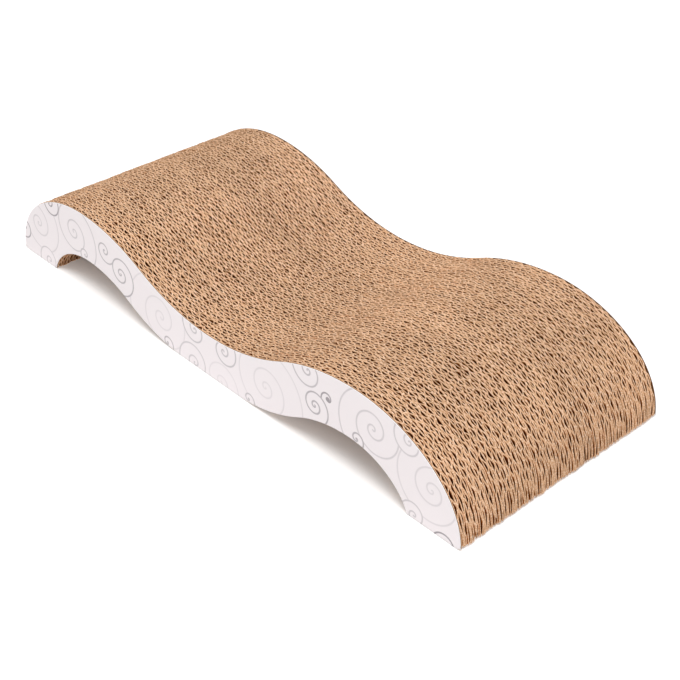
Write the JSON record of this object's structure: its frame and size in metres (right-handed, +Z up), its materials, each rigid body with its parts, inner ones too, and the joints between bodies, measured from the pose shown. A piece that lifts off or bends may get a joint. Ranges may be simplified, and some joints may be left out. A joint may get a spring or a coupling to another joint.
{
  "type": "cat scratcher",
  "caption": "Wave-shaped cat scratcher of corrugated boards standing on edge, glued side by side between two printed side panels, with an open arch under each hump.",
  "frame": {"origin": "on the floor under the middle of the scratcher, the bottom centre of its box", "axes": "+Z up, +X along the length, -Y out of the side panel that the picture shows"},
  "size_m": [0.46, 0.1838, 0.066],
  "materials": {
    "kraft_board": "matte, cut edges with open flutes",
    "printed_panel": "satin white with a thin grey scroll print"
  },
  "bodies": {
    "root": {"board_01": "kraft_board", "board_02": "kraft_board", "board_03": "kraft_board", "board_04": "kraft_board", "board_05": "kraft_board", "board_06": "kraft_board", "board_07": "kraft_board", "board_08": "kraft_board", "board_09": "kraft_board", "board_10": "kraft_board", "board_11": "kraft_board", "board_12": "kraft_board", "board_13": "kraft_board", "board_14": "kraft_board", "board_15": "kraft_board", "board_16": "kraft_board", "board_17": "kraft_board", "board_18": "kraft_board", "board_19": "kraft_board", "board_20": "kraft_board", "board_21": "kraft_board", "board_22": "kraft_board", "board_23": "kraft_board", "board_24": "kraft_board", "board_25": "kraft_board", "board_26": "kraft_board", "board_27": "kraft_board", "board_28": "kraft_board", "board_29": "kraft_board", "board_30": "kraft_board", "board_31": "kraft_board", "board_32": "kraft_board", "board_33": "kraft_board", "board_34": "kraft_board", "board_35": "kraft_board", "side_panel_near": "printed_panel", "side_panel_far": "printed_panel"}
  },
  "joints": []
}
